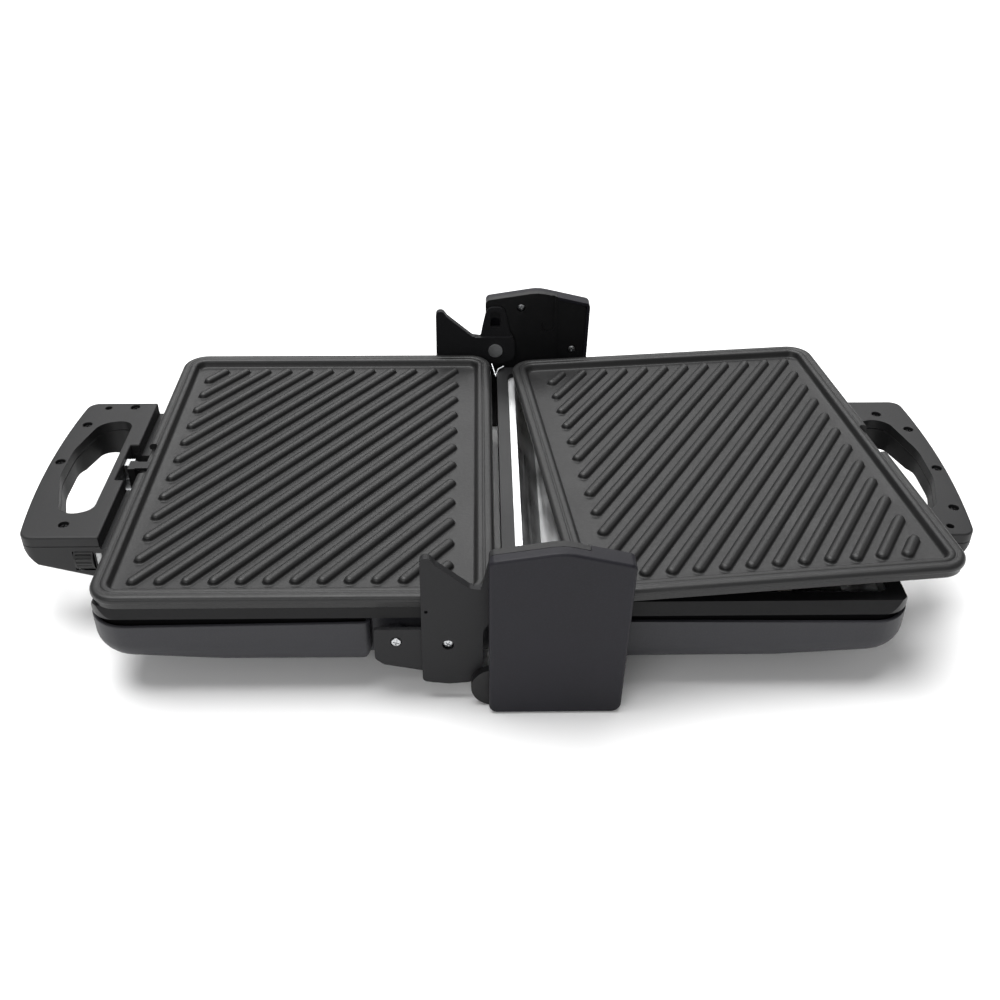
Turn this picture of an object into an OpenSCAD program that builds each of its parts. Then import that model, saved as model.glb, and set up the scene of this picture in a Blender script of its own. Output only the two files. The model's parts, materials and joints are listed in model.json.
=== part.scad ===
// Contact grill that opens flat: two halves with removable ribbed plates,
// joined by a floating hinge between two side towers.
// X runs from the hinge axis towards the base handle, Y along the hinge axis, Z up from the table.
// The lid lies open at -X, and its own plate sits loose and askew on the base at +X.

/* [Grill plates] */
// Length of a plate along the hinge axis
plate_l = 294; // [264:1:310]
// Width of a plate from its hinge side to its handle side
plate_w = 234; // [204:1:240]
// Height of a plate from skirt to rim
plate_h = 9; // [9:0.5:11]
// Radius of a plate's corners
plate_r = 17; // [14:1:24]
// Width of the raised rim
rim_w = 12; // [10:1:14]
// Spacing of the ribs, measured across them
rib_pitch = 12.8; // [10:0.1:18]
// Angle of the ribs from the X axis
rib_angle = 54; // [40:1:60]
// Width of one rib
rib_w = 7; // [4:0.5:8]
// Height of one rib above the cooking floor
rib_h = 3.5; // [2:0.5:4]

/* [Loose plate] */
// Turn of the loose base plate away from its seat
swing_deg = 6.3; // [5:0.1:6.3]
// Lean of the axis that the loose plate turns about
swing_lean = 15.5; // [13:0.5:16]

/* [Housings] */
// Height of the plate rims above the table
rim_z = 72; // [70:1:80]
// Height of the housings' underside above the table
belly_z = 16; // [12:1:18]
// Wall thickness of the housings
wall = 2.5; // [2:0.5:3]
// Radius of the housings' lower edges
belly_r = 20; // [12:1:22]

/* [Handles] */
// Reach of the handles from the hinge axis
handle_x = 302; // [296:1:310]
// Length of the handles along Y
handle_l = 164; // [150:2:180]
// Height of the lid handle's inner face
lid_handle_z = 67; // [64:1:68]
// Height of the base handle's inner face
base_handle_z = 65.5; // [62:0.5:66]

/* [Towers and hinge] */
// Height of the towers at their peak
tower_h = 119; // [112:1:125]
// Depth of a tower along Y
tower_d = 12; // [11:1:14]
// Vertical travel of the floating hinge
float_travel = 22; // [10:1:22]
// Radius of the hinge pins
pin_r = 3.5; // [3:0.1:4]
// Radial clearance of the running fits
fit = 0.05; // [0.02:0.01:0.1]

/* [Hidden] */

eps = 0.01;
half_l = plate_l / 2;
seat_x = 4;                      // gap from the hinge axis to a seated plate
seat_z = rim_z - plate_h;        // where a plate's skirt rests
seat_gap = 0.2;                  // left free between the frames and the plates
hinge_z = rim_z + 1;             // height of the hinge axis
skirt_t = 3;                     // thickness of a plate's skirt
floor_z = 1;                     // underside of the cooking floor, above the skirt's edge
roll_h = 4.6;                    // height of the rolled edge
roll_out = 1.5;                  // its overhang beyond the skirt
floor_t = 3;                     // thickness of the cooking floor
notch_l = 36;                    // latch notch in a plate's outer edge
notch_d = 6;
notch_z = 4;

shell_x0 = 1;                    // hinge side wall of the base housing
shell_x1 = seat_x + plate_w + 3.5; // handle side wall of both housings
shell_y = half_l + 1;            // half length of the housings
shell_rim = rim_z - 18.2;        // housings' upper edge
belly_rise = 6.5;                // the underside rises towards the handle
belly_run = 80;                  // over this length
shell_r = 24;                    // plan radius of the housings' outer corners
hinge_gap = 3.3;                 // hinge side wall of the lid parts, from the axis
neck_x = 76;                     // the lid housing is narrower up to here, beside the arms
neck_y = half_l - 5.1;

frame_x1 = shell_x1 - 5;         // handle side of the inner frames
frame_y = half_l - 5.5;
flare = 3.5;                     // the frames widen downwards by this much
frame_z0 = seat_z - 15;          // underside of the inner frames
frame_top_z = rim_z - 17;       // above this the frames are wider than the housings' inside
play = 0.2;                      // between a frame's foot and the housing's walls
frame_w = 8;                     // width of the frames' top
ledge_w = 4;                     // ledge that carries the reflector
ledge_z = seat_z - 4.5;
tray_z = 40;                     // reflector floor
tray_t = 0.8;
heater_z = 50;
heater_r = 3.3;
heater_y = half_l - 40;          // the heater's long runs
heater_x = shell_x1 - 41;        // the heater's cross run
heater_bend = 24;

arm_in = half_l + 3.5;           // inner and outer faces of the hinge arms
arm_out = half_l + 8.5;
arm_relief = 2.7;                // depth of the relief in the arms' upper ends
tower_in = half_l + 9;           // inner face of the towers
tower_out = tower_in + tower_d;
tower_wall = 2.5;
tower_step = 48;                 // the towers' inner plate is flush up to this x
plate_t = 5;                     // thickness of the towers' inner plate

handle_y = handle_l / 2;
grip_z0 = 34;                    // underside of the handles beside the housings
cavity_x = shell_x1 + 11.5;      // latch cavity behind each plate
cavity_y = [-25, 18];
grip_x0 = handle_x - 44;         // the grip opening starts here
sill_x = shell_x1 + 5.5;         // the handles' upper part starts here
sill_z = 58;                     // above this height
wheel_r = 10;
wheel_w = 12;
wheel_x = 258.5;
wheel_y = handle_y - 8;
wheel_z = 49;
lens_x = wheel_x - 11.3;         // the lens sits beside the wheel

black = [0.07, 0.07, 0.075];
shell_grey = [0.13, 0.13, 0.14];
coating = [0.1, 0.1, 0.11];
steel = [0.72, 0.73, 0.75];

// ---- outlines -------------------------------------------------------------

// Points of a fillet of radius r at corner b, coming from a and leaving to c
function unit(v) = v / norm(v);
function fillet(a, b, c, r) =
    let (u = unit(a - b), v = unit(c - b),
         half = acos(max(-1, min(1, u * v))) / 2,
         reach = r / tan(half),
         centre = b + unit(u + v) * r / sin(half),
         p = b + u * reach, q = b + v * reach,
         a0 = atan2(p[1] - centre[1], p[0] - centre[0]),
         a1 = atan2(q[1] - centre[1], q[0] - centre[0]),
         turn = a1 - a0 > 180 ? a1 - a0 - 360 : a1 - a0 < -180 ? a1 - a0 + 360 : a1 - a0,
         n = max(2, ceil(abs(turn) / 15)))
    [for (i = [0:n]) centre + r * [cos(a0 + turn * i / n), sin(a0 + turn * i / n)]];

// Outline [[x, y, r], ...] with each corner rounded by its own r
module rounded(pts) {
    n = len(pts);
    function xy(i) = [pts[(i + n) % n][0], pts[(i + n) % n][1]];
    polygon([for (i = [0:n - 1])
        each pts[i][2] > 0 ? fillet(xy(i - 1), xy(i), xy(i + 1), pts[i][2]) : [xy(i)]]);
}

// Rectangle with true round corners
module rrect(x0, x1, y, r) {
    translate([x0 + r, -y]) square([x1 - x0 - 2 * r, 2 * y]);
    translate([x0, -y + r]) square([x1 - x0, 2 * y - 2 * r]);
    for (x = [x0 + r, x1 - r], s = [-1, 1]) translate([x, s * (y - r)]) circle(r, $fn = 48);
}

// Extrude an XZ outline along Y, or a YZ outline along X
module along_y(y0, y1) {
    translate([0, y1, 0]) rotate([90, 0, 0]) linear_extrude(y1 - y0) children();
}
module along_x(x0, x1) {
    translate([x0, 0, 0]) rotate([90, 0, 90]) linear_extrude(x1 - x0) children();
}

// A cylinder whose axis runs along Y or X
module rod_y(r, x, z, y0, y1) {
    translate([x, y0, z]) rotate([-90, 0, 0]) cylinder(r = r, h = y1 - y0, $fn = 48);
}
module rod_x(r, y, z, x0, x1) {
    translate([x0, y, z]) rotate([0, 90, 0]) cylinder(r = r, h = x1 - x0, $fn = 48);
}

// The lid's half is the base's half turned about the vertical through the hinge
module lid_side() rotate([0, 0, 180]) children();
module rear_side() mirror([0, 1, 0]) children();

// ---- grill plates ---------------------------------------------------------

// One rib: a bar with round ends, cut to length by the margins round the cooking floor
module ribs() {
    d = [cos(rib_angle), sin(rib_angle)];
    n = [sin(rib_angle), -cos(rib_angle)];
    x_lim = [24 + rib_w / 2, plate_w - 19 - rib_w / 2];
    y_lim = [-half_l + 17.5 + rib_w / 2, half_l - 17.5 - rib_w / 2];
    phase = 7;
    for (k = [-14:30]) {
        c = phase + k * rib_pitch;
        t0 = max((x_lim[0] - c * n[0]) / d[0], (y_lim[0] - c * n[1]) / d[1]);
        t1 = min((x_lim[1] - c * n[0]) / d[0], (y_lim[1] - c * n[1]) / d[1]);
        if (t1 - t0 > rib_w) translate(c * n + t0 * d) rotate(rib_angle) {
            translate([0, -rib_w / 2]) square([t1 - t0, rib_w]);
            circle(rib_w / 2, $fn = 32);
            translate([t1 - t0, 0]) circle(rib_w / 2, $fn = 32);
        }
    }
}

// Ring between two insets from the plate's edge
module rim_ring(a, b) {
    difference() {
        rrect(a, plate_w - a, half_l - a, plate_r - a);
        rrect(b, plate_w - b, half_l - b, plate_r - b);
    }
}

module grill_plate() {
    floor_top = floor_z + floor_t;
    difference() {
        union() {
            linear_extrude(plate_h)
                rrect(roll_out, plate_w - roll_out, half_l - roll_out, plate_r - roll_out);
            translate([0, 0, plate_h - roll_h]) linear_extrude(roll_h)
                rrect(0, plate_w, half_l, plate_r);
        }
        translate([0, 0, floor_top]) linear_extrude(plate_h)
            rrect(rim_w, plate_w - rim_w, half_l - rim_w, plate_r - rim_w);
        translate([0, 0, -1]) linear_extrude(floor_z + 1)
            rrect(skirt_t, plate_w - skirt_t, half_l - skirt_t, plate_r - skirt_t);
        translate([0, 0, -1]) linear_extrude(plate_h - 2.5) rim_ring(skirt_t, rim_w - 3);
        translate([0, 0, plate_h - 1.2]) linear_extrude(2) rim_ring(5, 6.6);
        translate([plate_w - notch_d, -notch_l / 2, notch_z]) cube([notch_d + 1, notch_l, plate_h]);
    }
    translate([0, 0, floor_top - eps]) linear_extrude(rib_h + eps) ribs();
}

module seated_plate() translate([seat_x, 0, seat_z]) grill_plate();

// The loose plate: turned about a leaning axis beyond the rear edge of its seat
swing_at = [seat_x + plate_w / 2 + 12.5, half_l + 56.4, rim_z + 3.5];
module base_plate() {
    color(coating) translate(swing_at)
        rotate(swing_deg, [-sin(swing_lean), 0, cos(swing_lean)])
            translate(-swing_at) seated_plate();
}
module lid_plate() color(coating) lid_side() seated_plate();

// ---- housings -------------------------------------------------------------

// A block with round lower edges and round plan corners, from x0 to x1 and +-y
module bowl(x0, x1, y, z0, z1, r_low, r_plan) {
    intersection() {
        translate([0, 0, z0]) linear_extrude(z1 - z0) rrect(x0, x1, y, r_plan);
        along_y(-y - 1, y + 1)
            rounded([[x0, z0, r_low], [shell_x1 - belly_run, z0, 60], [x1, z0 + belly_rise, r_low],
                     [x1, z1 + 1, 0], [x0, z1 + 1, 0]]);
        along_x(x0 - 1, x1 + 1)
            rounded([[-y, z0, r_low], [y, z0, r_low], [y, z1 + 1, 0], [-y, z1 + 1, 0]]);
    }
}

// The rim drops a little towards the handle
module rim_slope() {
    along_y(-shell_y - 1, shell_y + 1)
        polygon([[-1, shell_rim + 0.5], [shell_x1 + 1, shell_rim - 3], [shell_x1 + 1, 200], [-1, 200]]);
}

// Pillars inside a housing that carry its frame
module frame_pillars(x0) {
    for (x = [x0 + 8, shell_x1 - 10], s = [-1, 1]) translate([x, s * (neck_y - 9), belly_z + 6])
        cylinder(r = 4.5, h = frame_z0 - belly_z - 6, $fn = 32);
}

boss_at = [[30, 22], [60, 22]];       // tower bosses on the base housing
arm_boss_at = [[61, 44], [31, 43]];   // arm bosses on the lid housing
gland_x = 100;
gland_z = 40;
gland_r = 7;

module base_shell() {
    color(shell_grey) difference() {
        union() {
            bowl(shell_x0, shell_x1, shell_y, belly_z, shell_rim + 1, belly_r, shell_r);
            for (s = [0, 1]) mirror([0, s, 0]) {
                rod_y(6, boss_at[0][0], boss_at[0][1], neck_y - 20, tower_in);
                rod_y(6, boss_at[1][0], boss_at[1][1], neck_y - 20, tower_in + 1.5);
            }
        }
        bowl(shell_x0 + wall, shell_x1 - wall, shell_y - wall, belly_z + wall, 100,
             belly_r - wall, shell_r - wall);
        rim_slope();
        for (s = [0, 1], b = boss_at) mirror([0, s, 0])
            rod_y(1.6, b[0], b[1], neck_y - 30, tower_in + 5);
        rod_y(gland_r + fit, gland_x, gland_z, shell_y - 10, shell_y + 5);
    }
    color(shell_grey) intersection() {
        frame_pillars(shell_x0);
        bowl(shell_x0 + 1, shell_x1 - 1, shell_y - 1, belly_z + 1, 100, belly_r, shell_r);
    }
}

module lid_bowl(inset, z1) {
    bowl(neck_x + inset, shell_x1 - inset, shell_y - inset, belly_z + inset, z1,
         belly_r - inset, inset > 0 ? 8 : 6);
    bowl(hinge_gap + inset, shell_x1 - inset, neck_y - inset, belly_z + inset, z1,
         belly_r - inset, 6);
}

module lid_shell() {
    color(shell_grey) lid_side() {
        difference() {
            union() {
                intersection() {
                    lid_bowl(0, shell_rim + 1);
                    linear_extrude(100) rrect(hinge_gap, shell_x1, shell_y, shell_r);
                }
                intersection() {
                    lid_bowl(0, shell_rim + 1);
                    linear_extrude(100) rrect(hinge_gap, neck_x + 20, neck_y, 6);
                }
                for (s = [0, 1], b = arm_boss_at) mirror([0, s, 0])
                    rod_y(5, b[0], b[1], neck_y - 8, arm_in);
            }
            intersection() {
                lid_bowl(wall, 100);
                union() {
                    linear_extrude(110)
                        rrect(hinge_gap + wall, shell_x1 - wall, shell_y - wall, shell_r - wall);
                    linear_extrude(110) rrect(hinge_gap + wall, neck_x + 20, neck_y - wall, 4);
                }
            }
            rim_slope();
            for (s = [0, 1], b = arm_boss_at) mirror([0, s, 0])
                rod_y(1.6, b[0], b[1], neck_y - 9, arm_out);
        }
        intersection() {
            frame_pillars(hinge_gap);
            bowl(hinge_gap + 1, shell_x1 - 1, shell_y - 1, belly_z + 1, 100, belly_r, 10);
        }
    }
}

// Inner frame: the ring a plate rests on, with a ledge for the reflector.
// Its foot stands inside the housing and its top covers the housing's hinge side wall.
module inner_frame(x0, neck) {
    foot_x0 = x0 + wall + play;
    foot_x1 = shell_x1 - wall - play;
    frame_h = seat_z - seat_gap - frame_top_z;
    difference() {
        union() {
            intersection() {
                translate([0, 0, frame_top_z]) linear_extrude(frame_h)
                    rrect(x0, frame_x1 + flare, frame_y + flare, 17);
                along_y(-shell_y, shell_y)
                    polygon([[x0, frame_top_z], [frame_x1 + flare, frame_top_z],
                             [frame_x1, frame_top_z + frame_h], [x0, frame_top_z + frame_h]]);
                along_x(x0, shell_x1)
                    polygon([[-frame_y - flare, frame_top_z], [frame_y + flare, frame_top_z],
                             [frame_y, frame_top_z + frame_h], [-frame_y, frame_top_z + frame_h]]);
            }
            translate([0, 0, frame_z0]) linear_extrude(frame_top_z - frame_z0 + eps) {
                rrect(max(foot_x0, neck), foot_x1, frame_y, 17);
                rrect(foot_x0, foot_x1, neck_y - wall - play, 17);
            }
        }
        translate([0, 0, ledge_z]) linear_extrude(20)
            rrect(x0 + frame_w, frame_x1 - frame_w, frame_y - frame_w, 8);
        translate([0, 0, frame_z0 - 1]) linear_extrude(40)
            rrect(x0 + frame_w + ledge_w, frame_x1 - frame_w - ledge_w,
                  frame_y - frame_w - ledge_w, 0.5);
    }
}
module base_frame() color(black) inner_frame(shell_x0, 0);
module lid_frame() color(black) lid_side() inner_frame(hinge_gap, neck_x + 4);

// Reflector: a flanged tray with sloping sides, in thin bright steel
module tray_block(x0, x1, y, z0, z1, slope) {
    intersection() {
        along_y(-y, y) polygon([[x0 + slope, z0], [x1 - slope, z0], [x1, z1], [x0, z1]]);
        along_x(x0, x1) polygon([[-y + slope, z0], [y - slope, z0], [y, z1], [-y, z1]]);
    }
}
module reflector(x0) {
    slope = 13;
    in_x0 = x0 + frame_w + ledge_w + 0.4;
    in_x1 = frame_x1 - frame_w - ledge_w - 0.4;
    in_y = frame_y - frame_w - ledge_w - 0.4;
    difference() {
        union() {
            tray_block(in_x0, in_x1, in_y, tray_z, ledge_z + tray_t, slope);
            translate([0, 0, ledge_z]) linear_extrude(tray_t)
                rrect(x0 + frame_w + 0.4, frame_x1 - frame_w - 0.4, frame_y - frame_w - 0.4, 7);
        }
        tray_block(in_x0 + tray_t, in_x1 - tray_t, in_y - tray_t, tray_z + tray_t,
                   ledge_z + tray_t + eps, slope);
    }
}
module base_reflector() color(steel) reflector(shell_x0);
module lid_reflector() color(steel) lid_side() reflector(hinge_gap);

// Sheathed heater: two long runs and a cross run, with cold pins at the hinge side
module heater() {
    x0 = 34;
    for (s = [-1, 1]) {
        rod_x(heater_r, s * heater_y, heater_z, x0, heater_x - heater_bend);
        rod_x(1.6, s * heater_y, heater_z, x0 - 10, x0 + 5);
    }
    rod_y(heater_r, heater_x, heater_z, -heater_y + heater_bend, heater_y - heater_bend);
    translate([heater_x - heater_bend, heater_y - heater_bend, heater_z])
        rotate_extrude(angle = 90, $fn = 64) translate([heater_bend, 0]) circle(heater_r, $fn = 24);
    translate([heater_x - heater_bend, -heater_y + heater_bend, heater_z])
        rotate([0, 0, -90])
            rotate_extrude(angle = 90, $fn = 64) translate([heater_bend, 0]) circle(heater_r, $fn = 24);
}
module base_heater() color([0.35, 0.36, 0.33]) heater();
module lid_heater() color([0.35, 0.36, 0.33]) lid_side() heater();

// Ceramic saddles between the reflector and the heater
module heater_supports() {
    for (s = [-1, 1], x = [50, heater_x - heater_bend - 6]) difference() {
        translate([x, s * heater_y - 7, tray_z + tray_t + 0.6])
            cube([6, 14, heater_z - tray_z - tray_t - 0.6]);
        rod_x(heater_r, s * heater_y, heater_z, x - 1, x + 7);
    }
}
module base_heater_supports() color([0.85, 0.83, 0.76]) heater_supports();
module lid_heater_supports() color([0.85, 0.83, 0.76]) lid_side() heater_supports();

// ---- plate fastenings -----------------------------------------------------

// Spring clip on the base frame's outer edge, bent from one strip
module base_plate_clip() {
    color(steel) along_y(-5, 5)
        polygon([[shell_x1 + 0.2, 42], [shell_x1 + 1.2, 42], [shell_x1 + 1.2, 55],
                 [shell_x1 + 4, 60], [shell_x1 + 1, 61.4], [shell_x1 - 1.7, 59.5],
                 [shell_x1 - 1.7, 58.3], [shell_x1 + 0.8, 60], [shell_x1 + 2.4, 59.4],
                 [shell_x1 + 0.2, 55.5]]);
}

// The lid plate's latch: its tongue lies over the lowered edge of the plate's notch
latch_y = 4;
latch_travel = 5.5;
module lid_latch() {
    color(black) lid_side() {
        translate([shell_x1 + 0.3, latch_y - 5, 50.2]) cube([5, 10, seat_z + notch_z - 47.8]);
        translate([seat_x + plate_w - 5, latch_y - 4, seat_z + notch_z + 0.4]) cube([10, 8, 2]);
    }
}
module lid_latch_guide() {
    color(steel) lid_side() difference() {
        union() {
            translate([shell_x1, latch_y - 7.5, 44]) cube([11.3, 15, 10]);
            translate([shell_x1 + 5.2, latch_y - 15.5, 44]) cube([6, 8.1, 20]);
        }
        translate([shell_x1 - 1, latch_y - 5.4, 50]) cube([20, 10.8, 10]);
    }
}

// ---- handles --------------------------------------------------------------

module handle_plan() {
    bow = 560;
    intersection() {
        rounded([[shell_x1, -handle_y, 0], [handle_x - 6, -handle_y, 9],
                 [handle_x + 1, -handle_y + 22, 4], [handle_x + 1, handle_y - 22, 4],
                 [handle_x - 6, handle_y, 9], [shell_x1, handle_y, 0]]);
        translate([handle_x - bow, 0]) circle(bow, $fn = 96);
    }
}
module grip_opening() {
    rounded([[grip_x0, -58, 9], [grip_x0 + 23, -54, 14], [handle_x - 12, -18, 40],
             [handle_x - 12, 14, 40], [grip_x0 + 20, 60, 12], [grip_x0, 52, 9]]);
}
// The handle's side outline: it thins towards its outer edge, and has a sill beside the plate
module handle_side(top) {
    polygon([[shell_x1, grip_z0], [256, grip_z0 + 2], [288, grip_z0 + 11],
             [296, grip_z0 + 20], [handle_x + 2, grip_z0 + 28], [handle_x + 2, top],
             [sill_x, top], [sill_x, sill_z], [shell_x1, sill_z]]);
}
module handle_body(top) {
    difference() {
        intersection() {
            linear_extrude(top) handle_plan();
            along_y(-handle_y - 1, handle_y + 1) handle_side(top);
        }
        linear_extrude(100) grip_opening();
        translate([shell_x1 - 1, cavity_y[0], 0])
            cube([cavity_x - shell_x1 + 1, cavity_y[1] - cavity_y[0], 100]);
    }
}
module slab(z0, z1) translate([200, -150, z0]) cube([150, 300, z1 - z0]);

split = 7;                       // thickness of the handles' upper half
base_screws = [[275, 64], [292, 43], [296, -7], [292, -53]];
lid_screws = [[272, 68], [262, -76], [295, -4], [290, -52]];
module screw_holes(list, top) {
    for (p = list) translate([p[0], p[1], top - split - 8]) {
        cylinder(r = 1.6, h = 40, $fn = 24);
        translate([0, 0, split + 5]) cylinder(r = 3.3, h = 20, $fn = 24);
    }
}
module screws(list, top) {
    for (p = list) translate([p[0], p[1], top - split - 7]) {
        cylinder(r = 1.5, h = split + 4.5, $fn = 24);
        translate([0, 0, split + 4.05]) difference() {
            cylinder(r = 3, h = 1.6, $fn = 24);
            for (a = [0, 90]) rotate(a) translate([-2, -0.4, 0.8]) cube([4, 0.8, 2]);
        }
    }
}
module base_handle_top() {
    color(black) difference() {
        intersection() { handle_body(base_handle_z); slab(base_handle_z - split, 100); }
        screw_holes(base_screws, base_handle_z);
        translate([283, -73, base_handle_z - 4]) cylinder(r = 2.4, h = 10, $fn = 24);
    }
}
module base_handle_bottom() {
    color(black) difference() {
        intersection() { handle_body(base_handle_z); slab(0, base_handle_z - split); }
        screw_holes(base_screws, base_handle_z);
    }
}
module base_handle_screws() color(steel) screws(base_screws, base_handle_z);

// Pocket for the thumbwheel and the thermostat at the lid handle's front end
module wheel_pocket() {
    rod_x(wheel_r + 0.8, wheel_y, wheel_z, wheel_x - wheel_w / 2 - 0.6, wheel_x + wheel_w / 2 + 0.6);
    translate([shell_x1 + 1.5, wheel_y - 9, wheel_z - 9]) cube([wheel_x - wheel_w / 2 - shell_x1 - 1, 14, 18]);
}
module lid_handle_top() {
    color(black) lid_side() difference() {
        intersection() { handle_body(lid_handle_z); slab(lid_handle_z - split, 100); }
        screw_holes(lid_screws, lid_handle_z);
        translate([281, -75, lid_handle_z - 4]) cylinder(r = 2.4, h = 10, $fn = 24);
    }
}
module lid_handle_bottom() {
    color(black) lid_side() difference() {
        intersection() { handle_body(lid_handle_z); slab(0, lid_handle_z - split); }
        screw_holes(lid_screws, lid_handle_z);
        wheel_pocket();
        translate([lens_x - fit, handle_y - 2.8 - fit, wheel_z - 6 - fit])
            cube([3.8 + 2 * fit, 10, 12 + 2 * fit]);
    }
}
module lid_handle_screws() color(steel) lid_side() screws(lid_screws, lid_handle_z);

module thermostat() {
    color([0.6, 0.6, 0.58]) lid_side() {
        translate([shell_x1 + 2, wheel_y - 8.5, wheel_z - 8.5]) cube([wheel_x - wheel_w / 2 - shell_x1 - 3, 13, 17]);
        rod_x(2, wheel_y, wheel_z, wheel_x - wheel_w / 2 - 2, wheel_x + wheel_w / 2 - 1);
    }
}
// Knurled wheel: ridges round its rim, and a bore for the thermostat's shaft
module thermostat_wheel() {
    ridges = 24;
    color(black) lid_side() translate([wheel_x - wheel_w / 2, wheel_y, wheel_z]) rotate([0, 90, 0])
        difference() {
            cylinder(r = wheel_r, h = wheel_w, $fn = 64);
            for (i = [0:ridges - 1]) rotate(i * 360 / ridges)
                translate([wheel_r, 0, 1.2]) rotate(45) translate([-0.5, -0.5]) cube([1, 1, wheel_w - 2.4]);
            translate([0, 0, -1]) cylinder(r = 2 + fit, h = wheel_w + 2, $fn = 32);
        }
}
module indicator_lens() {
    color([0.8, 0.81, 0.8]) lid_side()
        translate([lens_x, handle_y - 2.8, wheel_z - 6]) cube([3.8, 2.5, 12]);
}

// ---- feet, inlet and inner electrics ---------------------------------------

module feet(list) {
    for (p = list, s = [-1, 1]) translate([p[0], s * p[1], 0]) {
        cylinder(r = 9, h = belly_z, $fn = 48);
    }
}
feet_at = [[34, half_l - 49], [shell_x1 - belly_run - 11.5, half_l - 49]];
module base_feet() color(black) feet(feet_at);
module lid_rests() color(black) lid_side() feet(feet_at);

module inlet_gland() {
    color(black) difference() {
        union() {
            rod_y(gland_r, gland_x, gland_z, shell_y - 6, shell_y + 1);
            rod_y(gland_r + 2.5, gland_x, gland_z, shell_y + eps, shell_y + 5);
        }
        rod_y(3.6, gland_x, gland_z, shell_y - 10, shell_y + 10);
    }
}
module terminal_block() {
    color([0.85, 0.83, 0.76]) difference() {
        translate([gland_x - 18, half_l - 40, belly_z + wall]) cube([30, 16, 14]);
        for (i = [0:2]) rod_y(2.2, gland_x - 12 + i * 9, belly_z + wall + 8, half_l - 45, half_l - 20);
    }
}
module thermal_fuse() {
    color([0.8, 0.78, 0.7]) {
        rod_x(2.5, 20, tray_z - 3.5, 100, 112);
        rod_x(0.7, 20, tray_z - 3.5, 92, 120);
    }
}

// ---- towers ---------------------------------------------------------------

module tower_outline(inset) {
    rounded([[-7.5 + inset, 0.5 + inset, 5], [70 - inset, inset + 0.5, 6],
             [73 - inset, tower_h - 9.5 - inset, 4], [33, tower_h - inset, 30],
             [-7.5 + inset, tower_h - 6.5 - inset, 4]]);
}
tower_screw_at = [[20, 106], [60, 70]];
guide_w = pin_r + fit;           // half width of the slot that guides a hinge pin

module tower_cover() {
    color(shell_grey) {
        difference() {
            along_y(-tower_out, -tower_in) tower_outline(0);
            along_y(-tower_out + tower_wall, -tower_in + 1) tower_outline(tower_wall);
            translate([-50, -tower_in - plate_t - 0.1, -1]) cube([50 + tower_step, plate_t + 1, 200]);
        }
        difference() {
            union() {
                rod_y(3.5, tower_screw_at[0][0], tower_screw_at[0][1],
                      -tower_out + 1, -tower_in - plate_t - 0.2);
                rod_y(3.5, tower_screw_at[1][0], tower_screw_at[1][1],
                      -tower_out + 1, -tower_in - plate_t - 0.2);
            }
            for (p = tower_screw_at) rod_y(1.6, p[0], p[1], -tower_out + 2.5, -tower_in);
        }
    }
}
module tower_plate() {
    color(black) difference() {
        union() {
            along_y(-tower_in - plate_t, -tower_in) difference() {
                tower_outline(0);
                translate([tower_step - 0.3, -1]) square([50, 200]);
            }
            along_y(-tower_in - plate_t, -tower_in - 1.5) difference() {
                tower_outline(tower_wall + 0.3);
                translate([-50, -1]) square([50 + tower_step - 1, 200]);
            }
            rod_y(14, -4, 14.2, -tower_in - plate_t, -tower_in);
        }
        // guide slot for the hinge pin
        for (z = [hinge_z, hinge_z + float_travel]) rod_y(guide_w, 0, z, -tower_out, -tower_in + 1);
        translate([-guide_w, -tower_out, hinge_z]) cube([2 * guide_w, tower_d + 1, float_travel]);
        // raised bead's recess on the inner face
        along_y(-tower_in - 1, -tower_in + 1) rounded([[35, 86, 6], [46, 86, 5], [46, 200, 0], [43.5, 200, 0],
            [43.5, 88.5, 3], [37.5, 88.5, 3], [37.5, 94, 0], [35, 94, 0]]);
        for (p = tower_screw_at) {
            rod_y(1.6, p[0], p[1], -tower_out, -tower_in + 1);
            rod_y(3.2, p[0], p[1], -tower_in - 3.5, -tower_in + 1);
        }
        for (b = boss_at) {
            rod_y(1.6, b[0], b[1], -tower_out, -tower_in + 1);
            rod_y(3.2, b[0], b[1], -tower_out, -tower_in - 3);
        }
    }
}
module front_tower_plate() tower_plate();
module front_tower_cover() tower_cover();
module rear_tower_plate() rear_side() tower_plate();
module rear_tower_cover() rear_side() tower_cover();

// Pan head screw along -Y, its head's flat side at y and its shank reaching to y_end
module pan_screw(x, z, y, y_end) {
    sign_y = y_end > y ? 1 : -1;
    rod_y(1.5, x, z, min(y, y_end), max(y, y_end));
    difference() {
        rod_y(2.9, x, z, min(y, y - sign_y * 1.7), max(y, y - sign_y * 1.7));
        for (a = [0, 90]) translate([x, y - sign_y * 1.7, z]) rotate([0, a, 0])
            cube([4, 1.6, 0.8], center = true);
    }
}
module tower_screws() {
    color(steel) for (s = [0, 1], p = tower_screw_at) mirror([0, s, 0])
        pan_screw(p[0], p[1], -tower_in - 3.5, -tower_in - plate_t - 3);
}
module boss_screws() {
    color(steel) for (s = [0, 1], b = boss_at) mirror([0, s, 0])
        pan_screw(b[0], b[1], -tower_in - 3, -tower_in + 10);
}

// ---- hinge ----------------------------------------------------------------

// Hinge pin with its guide block, which rides up and down inside a tower
module hinge_pin() {
    block_y0 = -tower_out + tower_wall + 0.3;
    block_y1 = -tower_in - plate_t - 0.2;
    color(steel) {
        rod_y(pin_r, 0, hinge_z, block_y0, -arm_in + 1.4);
        rod_y(pin_r + 2, 0, hinge_z, -arm_in + 0.2, -arm_in + 1.4);
        translate([-4.6, block_y0, hinge_z - 9]) cube([13, block_y1 - block_y0, 18]);
    }
}
module front_hinge_pin() hinge_pin();
module rear_hinge_pin() rear_side() hinge_pin();

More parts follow.
